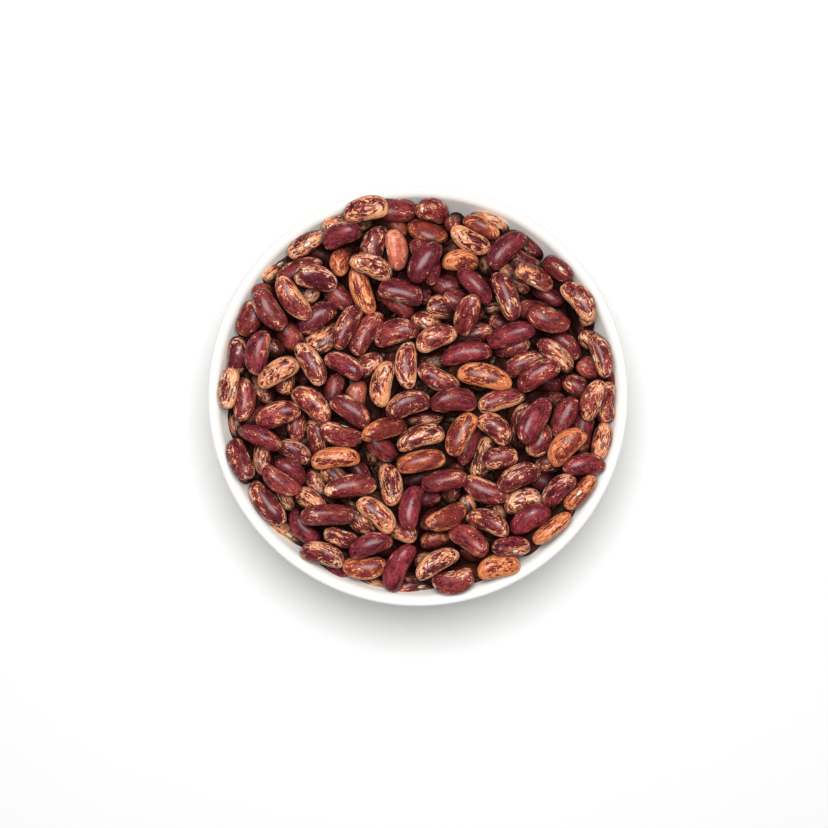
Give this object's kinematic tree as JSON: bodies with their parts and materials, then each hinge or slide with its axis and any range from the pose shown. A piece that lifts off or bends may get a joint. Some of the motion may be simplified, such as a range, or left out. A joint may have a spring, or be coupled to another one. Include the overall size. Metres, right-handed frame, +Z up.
{
  "type": "bowl of dried beans",
  "caption": "Round white porcelain bowl on a foot ring, heaped to its rim with dried speckled kidney beans.",
  "frame": {"origin": "middle of the foot ring's underside, on the surface that the bowl stands on", "axes": "+Z up; the bowl is round about Z, and +Y points to the top of the picture"},
  "size_m": [0.14, 0.14, 0.0701],
  "materials": {
    "porcelain": "glossy white glaze",
    "dried_beans": "smooth seed coats, maroon with cream and orange speckles"
  },
  "bodies": {
    "root": {"bowl": "porcelain", "beans": "dried_beans"}
  },
  "joints": []
}
